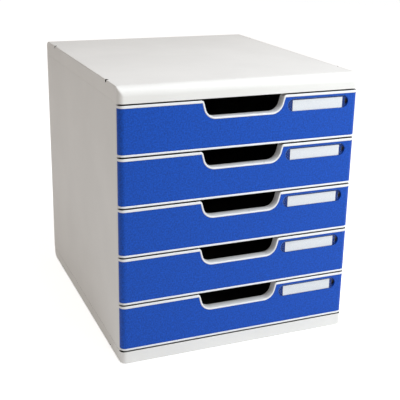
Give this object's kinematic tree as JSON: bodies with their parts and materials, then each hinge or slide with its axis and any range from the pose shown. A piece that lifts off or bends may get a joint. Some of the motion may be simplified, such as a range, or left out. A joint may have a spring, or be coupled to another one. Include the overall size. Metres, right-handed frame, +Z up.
{
  "type": "desktop drawer organizer",
  "caption": "Desktop drawer unit for papers: moulded casing with a rounded visor, sliding drawers with blue facings, finger cut-outs and label holders.",
  "frame": {"origin": "under the middle of the unit, in the plane that its foot pads stand on", "axes": "+Z up, drawers face and open along -Y, +X to the right of a person who faces the drawers"},
  "size_m": [0.288, 0.339, 0.32],
  "materials": {
    "shell": "fine satin grain",
    "pad": "matt",
    "tray": "satin",
    "frame": "semi-gloss",
    "facing": "fine leather grain",
    "label": "matt",
    "window": "clear"
  },
  "bodies": {
    "casing": {"top_cover": "shell", "base_tray": "shell", "side_panel_left": "shell", "side_panel_right": "shell", "back_panel": "shell", "foot_pad_front_left": "pad", "foot_pad_front_right": "pad", "foot_pad_rear_left": "pad", "foot_pad_rear_right": "pad"},
    "drawer_1": {"drawer_1_tray": "tray", "drawer_1_frame": "frame", "drawer_1_facing": "facing", "drawer_1_label": "label", "drawer_1_window": "window"},
    "drawer_2": {"drawer_2_tray": "tray", "drawer_2_frame": "frame", "drawer_2_facing": "facing", "drawer_2_label": "label", "drawer_2_window": "window"},
    "drawer_3": {"drawer_3_tray": "tray", "drawer_3_frame": "frame", "drawer_3_facing": "facing", "drawer_3_label": "label", "drawer_3_window": "window"},
    "drawer_4": {"drawer_4_tray": "tray", "drawer_4_frame": "frame", "drawer_4_facing": "facing", "drawer_4_label": "label", "drawer_4_window": "window"},
    "drawer_5": {"drawer_5_tray": "tray", "drawer_5_frame": "frame", "drawer_5_facing": "facing", "drawer_5_label": "label", "drawer_5_window": "window"}
  },
  "joints": [
    {"name": "drawer_1_slide", "type": "slide", "parent": "casing", "child": "drawer_1", "axis": [0, -1, 0], "range_m": [0, 0.25]},
    {"name": "drawer_2_slide", "type": "slide", "parent": "casing", "child": "drawer_2", "axis": [0, -1, 0], "range_m": [0, 0.25]},
    {"name": "drawer_3_slide", "type": "slide", "parent": "casing", "child": "drawer_3", "axis": [0, -1, 0], "range_m": [0, 0.25]},
    {"name": "drawer_4_slide", "type": "slide", "parent": "casing", "child": "drawer_4", "axis": [0, -1, 0], "range_m": [0, 0.25]},
    {"name": "drawer_5_slide", "type": "slide", "parent": "casing", "child": "drawer_5", "axis": [0, -1, 0], "range_m": [0, 0.25]}
  ]
}
